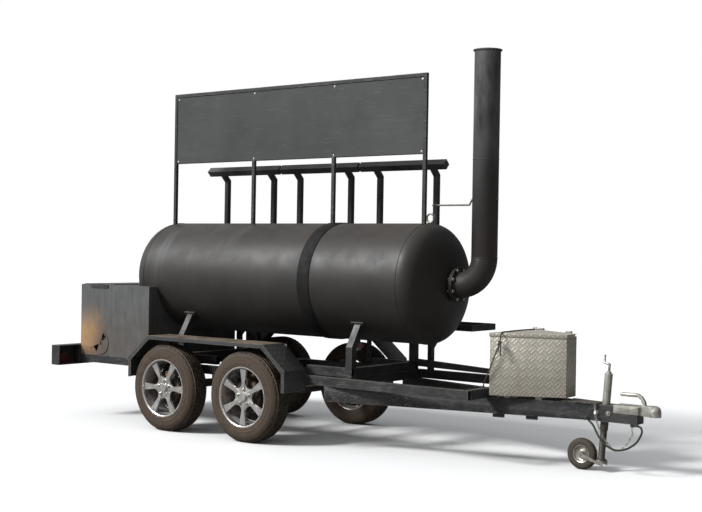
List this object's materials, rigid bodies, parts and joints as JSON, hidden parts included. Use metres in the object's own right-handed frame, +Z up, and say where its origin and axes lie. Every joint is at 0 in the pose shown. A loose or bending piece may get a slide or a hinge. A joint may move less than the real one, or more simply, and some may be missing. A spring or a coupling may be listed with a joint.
{
  "type": "towable offset smoker",
  "caption": "Offset smoker on a tandem-axle trailer: domed horizontal tank, rear firebox, upright flue, counterweighted doors, sign board, tread-plate tool box and coupling.",
  "frame": {"origin": "centre of the bounding box on the ground", "axes": "+X forward to the coupling, +Y to the door side, +Z up"},
  "size_m": [4.621, 1.45, 2.595],
  "materials": {
    "black_steel": "worn semi-gloss black",
    "chequer_plate": "dusty black over chequer plate",
    "axle_steel": "dusty painted steel",
    "sooty_black": "satin heat-proof black, dusty",
    "scorched_steel": "heat-rusted bare steel",
    "sign_grey": "matt dark grey sheet",
    "galvanised": "dull zinc",
    "damper_rod": "sooty bare steel",
    "lamp_red": "dusty red lens",
    "tread_plate": "bright tread plate",
    "tyre_rubber": "dusty tread",
    "alloy": "silver lacquer, road dust",
    "small_wheel_rubber": "solid rubber",
    "cable_sheath": "dull sheath",
    "rope_fibre": "worn fibre",
    "shelf_boards": "smoke-stained boards",
    "lever_red": "chipped red"
  },
  "bodies": {
    "trailer": {"chassis_rails": "black_steel", "drawbar": "black_steel", "rear_bumper": "black_steel", "axle_beams": "axle_steel", "leaf_springs": "black_steel", "spring_hangers": "black_steel", "u_bolts": "galvanised", "fenders": "chequer_plate", "tail_lamps": "lamp_red", "tank_cradle": "black_steel", "tank_shell": "sooty_black", "tank_band": "sooty_black", "cooking_grates": "scorched_steel", "baffle_plate": "scorched_steel", "door_hinges": "sooty_black", "sign_frame": "black_steel", "sign_panel": "sign_grey", "sign_screws": "galvanised", "flue_pipe": "sooty_black", "flue_flange": "sooty_black", "flange_bolts": "galvanised", "lifting_eye": "galvanised", "firebox": "scorched_steel", "fire_grate": "scorched_steel", "shelf_frame": "black_steel", "shelf_slats": "shelf_boards", "tool_box": "tread_plate", "box_hinges": "galvanised", "clamp_bolts": "galvanised", "coupling_body": "galvanised", "jack_tube": "galvanised", "drain_pipe": "galvanised", "brake_cable": "cable_sheath", "safety_chain": "galvanised"},
    "rear_door": {"door_rear": "sooty_black", "weight_rear": "sooty_black"},
    "middle_door": {"door_middle": "sooty_black", "weight_middle": "sooty_black"},
    "front_door": {"door_front": "sooty_black", "weight_front": "sooty_black"},
    "hatch": {"firebox_lid": "scorched_steel"},
    "ash_tray": {"ash_drawer": "scorched_steel"},
    "draft": {"draft_disc": "scorched_steel"},
    "damper": {"flue_damper": "damper_rod"},
    "drain_handle": {"drain_lever": "lever_red"},
    "latch_handle": {"coupling_handle": "galvanised"},
    "mast_inner": {"jack_inner": "galvanised"},
    "caster_fork": {"jack_fork": "galvanised"},
    "caster_wheel": {"jack_wheel": "small_wheel_rubber"},
    "crank": {"jack_crank": "galvanised"},
    "tool_lid": {"box_lid": "tread_plate", "tie_rope": "rope_fibre"},
    "wheel_rear_near": {"tyre_rear_near": "tyre_rubber", "rim_rear_near": "alloy"},
    "wheel_front_near": {"tyre_front_near": "tyre_rubber", "rim_front_near": "alloy"},
    "wheel_rear_far": {"tyre_rear_far": "tyre_rubber", "rim_rear_far": "alloy"},
    "wheel_front_far": {"tyre_front_far": "tyre_rubber", "rim_front_far": "alloy"}
  },
  "joints": [
    {"name": "rear_door_hinge", "type": "hinge", "parent": "trailer", "child": "rear_door", "pos_m": [-1.2005, 0.30057, 1.35918], "axis": [1, 0, 0], "range_deg": [0, 30]},
    {"name": "middle_door_hinge", "type": "hinge", "parent": "trailer", "child": "middle_door", "pos_m": [-0.4605, 0.30057, 1.35918], "axis": [1, 0, 0], "range_deg": [0, 30]},
    {"name": "front_door_hinge", "type": "hinge", "parent": "trailer", "child": "front_door", "pos_m": [0.2795, 0.30057, 1.35918], "axis": [1, 0, 0], "range_deg": [0, 30]},
    {"name": "hatch_hinge", "type": "hinge", "parent": "trailer", "child": "hatch", "pos_m": [-2.0208, 0.405, 1.016], "axis": [-1, 0, 0], "range_deg": [0, 100]},
    {"name": "ash_tray_slide", "type": "slide", "parent": "trailer", "child": "ash_tray", "axis": [0, 1, 0], "range_m": [0, 0.45]},
    {"name": "draft_turn", "type": "hinge", "parent": "trailer", "child": "draft", "pos_m": [-1.9975, -0.498, 0.565], "axis": [0, 1, 0], "range_deg": [0, 70]},
    {"name": "damper_turn", "type": "hinge", "parent": "trailer", "child": "damper", "pos_m": [1.1051, -0.025, 1.641], "axis": [1, 0, 0], "range_deg": [0, 90]},
    {"name": "drain_valve_turn", "type": "hinge", "parent": "trailer", "child": "drain_handle", "pos_m": [0.1085, -0.049, 0.646], "axis": [0, 1, 0], "range_deg": [0, 90]},
    {"name": "latch_handle_hinge", "type": "hinge", "parent": "trailer", "child": "latch_handle", "pos_m": [2.2125, -0.025, 0.412], "axis": [0, 1, 0], "range_deg": [0, 50]},
    {"name": "crank_turn", "type": "hinge", "parent": "trailer", "child": "crank", "pos_m": [1.9625, -0.025, 0.36], "axis": [0.0767, 0, 0.9971], "range_deg": [0, 5400]},
    {"name": "mast_slide", "type": "slide", "parent": "trailer", "child": "mast_inner", "axis": [0.0767, 0, 0.9971], "range_m": [0, 0.09]},
    {"name": "caster_swivel", "type": "hinge", "parent": "mast_inner", "child": "caster_fork", "pos_m": [1.9625, -0.025, 0.36], "axis": [0.0767, 0, 0.9971], "range_deg": [-120, 30]},
    {"name": "caster_spin", "type": "hinge", "parent": "caster_fork", "child": "caster_wheel", "pos_m": [1.8155, -0.025, 0.095], "axis": [0, 1, 0], "continuous": true},
    {"name": "tool_lid_hinge", "type": "hinge", "parent": "trailer", "child": "tool_lid", "pos_m": [1.52371, 0.15314, 0.815], "axis": [-0.8966, 0.4429, 0], "range_deg": [0, 95]},
    {"name": "rear_near_wheel_spin", "type": "hinge", "parent": "trailer", "child": "wheel_rear_near", "pos_m": [-1.1055, -0.6225, 0.305], "axis": [0, 1, 0], "continuous": true},
    {"name": "front_near_wheel_spin", "type": "hinge", "parent": "trailer", "child": "wheel_front_near", "pos_m": [-0.3495, -0.6225, 0.305], "axis": [0, 1, 0], "continuous": true},
    {"name": "rear_far_wheel_spin", "type": "hinge", "parent": "trailer", "child": "wheel_rear_far", "pos_m": [-1.1055, 0.5725, 0.305], "axis": [0, 1, 0], "continuous": true},
    {"name": "front_far_wheel_spin", "type": "hinge", "parent": "trailer", "child": "wheel_front_far", "pos_m": [-0.3495, 0.5725, 0.305], "axis": [0, 1, 0], "continuous": true}
  ],
  "couplings": [
    {"joint": "crank_turn", "follows": "mast_slide", "rad_per_m": 1047.2}
  ]
}
